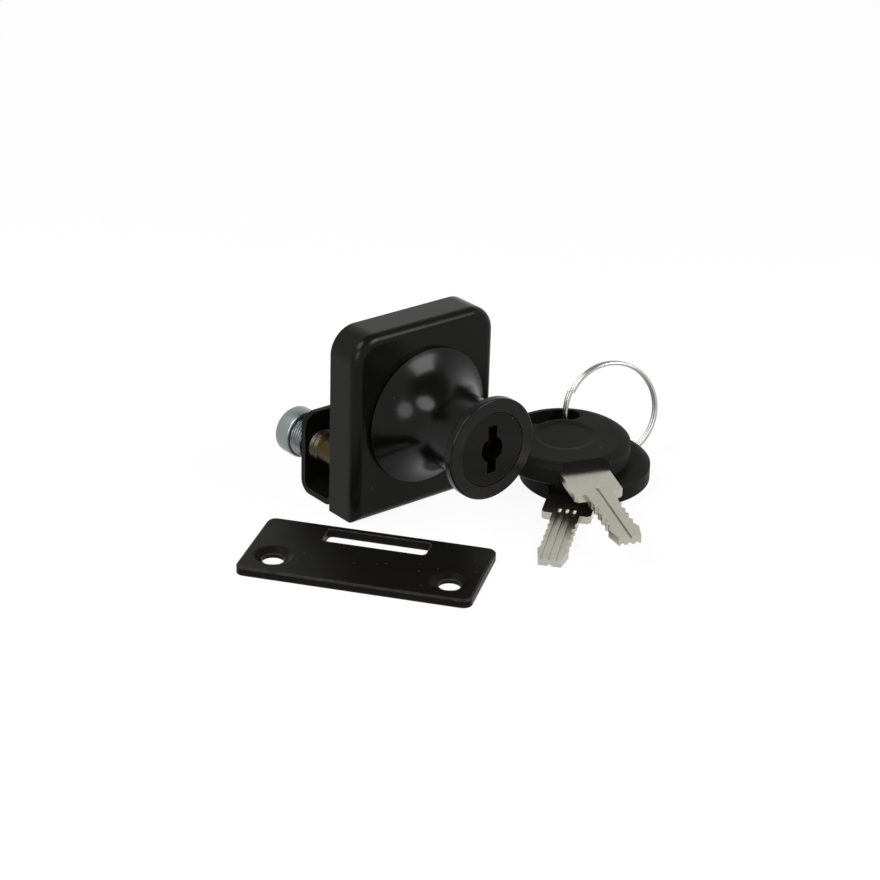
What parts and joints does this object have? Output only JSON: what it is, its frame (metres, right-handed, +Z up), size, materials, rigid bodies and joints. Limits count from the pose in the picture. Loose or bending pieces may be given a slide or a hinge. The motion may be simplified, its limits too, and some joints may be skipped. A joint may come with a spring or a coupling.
{
  "type": "glass door lock",
  "caption": "Clamp-on lock for a glass door: rounded case with a spool-shaped cylinder knob, bent glass bracket with clamp screws, slotted strike plate, and keys on a split ring.",
  "frame": {"origin": "where the axis of the key cylinder meets the glass, on the back face of the rubber pad", "axes": "+Z up, the lock's face looks towards -Y, +Y into the glass and on to the jaw, +X to the right seen from the front"},
  "size_m": [0.1003, 0.0702, 0.0382],
  "materials": {
    "black_case": "satin black lacquer on die-cast zinc",
    "black_knob": "semi-gloss black lacquer on turned brass",
    "black_plug": "satin black",
    "black_sheet": "semi-matt black on steel sheet",
    "zinc_steel": "bright zinc",
    "brass": "plain turned brass",
    "rubber_pad": "matt black",
    "nickel_blade": "nickel silver, milled",
    "black_bow": "fine moulded grain",
    "ring_steel": "bright nickel plate",
    "spring_steel": "bright spring wire"
  },
  "bodies": {
    "base": {"housing": "black_case", "knob": "black_knob", "knob_nut": "brass", "bracket": "black_sheet", "bracket_screws": "zinc_steel", "glass_pad": "rubber_pad", "strike_plate": "black_sheet", "key_2_blade": "nickel_blade", "key_2_bow": "black_bow", "key_ring": "ring_steel"},
    "plug": {"plug": "black_plug", "scroll_cam": "zinc_steel", "cam_screw": "zinc_steel", "retaining_clip": "spring_steel", "wafer_spring_1": "spring_steel", "wafer_spring_2": "spring_steel", "wafer_spring_3": "spring_steel", "wafer_spring_4": "spring_steel", "wafer_spring_5": "spring_steel"},
    "wafer_1": {"wafer_1": "brass"},
    "wafer_2": {"wafer_2": "brass"},
    "wafer_3": {"wafer_3": "brass"},
    "wafer_4": {"wafer_4": "brass"},
    "wafer_5": {"wafer_5": "brass"},
    "bolt": {"bolt": "zinc_steel"},
    "clamp_tip_left": {"clamp_tip_left": "brass"},
    "clamp_screw_left": {"clamp_screw_left": "zinc_steel"},
    "clamp_tip_right": {"clamp_tip_right": "brass"},
    "clamp_screw_right": {"clamp_screw_right": "zinc_steel"},
    "key_1": {"key_1_blade": "nickel_blade", "key_1_bow": "black_bow"}
  },
  "joints": [
    {"name": "plug_turn", "type": "hinge", "parent": "base", "child": "plug", "pos_m": [0, 0, 0], "axis": [0, 1, 0], "range_deg": [0, 180]},
    {"name": "wafer_1_slide", "type": "slide", "parent": "plug", "child": "wafer_1", "axis": [0, 0, 1], "range_m": [0, 0.0006], "deforming": ["wafer_spring_1"]},
    {"name": "wafer_2_slide", "type": "slide", "parent": "plug", "child": "wafer_2", "axis": [0, 0, 1], "range_m": [0, 0.0006], "deforming": ["wafer_spring_2"]},
    {"name": "wafer_3_slide", "type": "slide", "parent": "plug", "child": "wafer_3", "axis": [0, 0, 1], "range_m": [0, 0.0006], "deforming": ["wafer_spring_3"]},
    {"name": "wafer_4_slide", "type": "slide", "parent": "plug", "child": "wafer_4", "axis": [0, 0, 1], "range_m": [0, 0.0006], "deforming": ["wafer_spring_4"]},
    {"name": "wafer_5_slide", "type": "slide", "parent": "plug", "child": "wafer_5", "axis": [0, 0, 1], "range_m": [0, 0.0006], "deforming": ["wafer_spring_5"]},
    {"name": "bolt_slide", "type": "slide", "parent": "base", "child": "bolt", "axis": [0, 0, -1], "range_m": [0, 0.005]},
    {"name": "clamp_left_feed", "type": "slide", "parent": "base", "child": "clamp_tip_left", "axis": [0, 1, 0], "range_m": [0, 0.006]},
    {"name": "clamp_left_turn", "type": "hinge", "parent": "clamp_tip_left", "child": "clamp_screw_left", "pos_m": [-0.0131, 0, -0.0088], "axis": [0, 1, 0], "range_deg": [0, 1700]},
    {"name": "clamp_right_feed", "type": "slide", "parent": "base", "child": "clamp_tip_right", "axis": [0, 1, 0], "range_m": [0, 0.006]},
    {"name": "clamp_right_turn", "type": "hinge", "parent": "clamp_tip_right", "child": "clamp_screw_right", "pos_m": [0.0131, 0, -0.0088], "axis": [0, 1, 0], "range_deg": [0, 1700]},
    {"name": "key_1_lift", "type": "hinge", "parent": "base", "child": "key_1", "pos_m": [0.035, -0.00788, -0.01287], "axis": [-0.8405, 0.5414, -0.02], "range_deg": [0, 25]}
  ],
  "couplings": [
    {"joint": "bolt_slide", "follows": "plug_turn", "m_per_rad": 0.0015915},
    {"joint": "clamp_left_turn", "follows": "clamp_left_feed", "rad_per_m": 4947.4},
    {"joint": "clamp_right_turn", "follows": "clamp_right_feed", "rad_per_m": 4947.4}
  ]
}
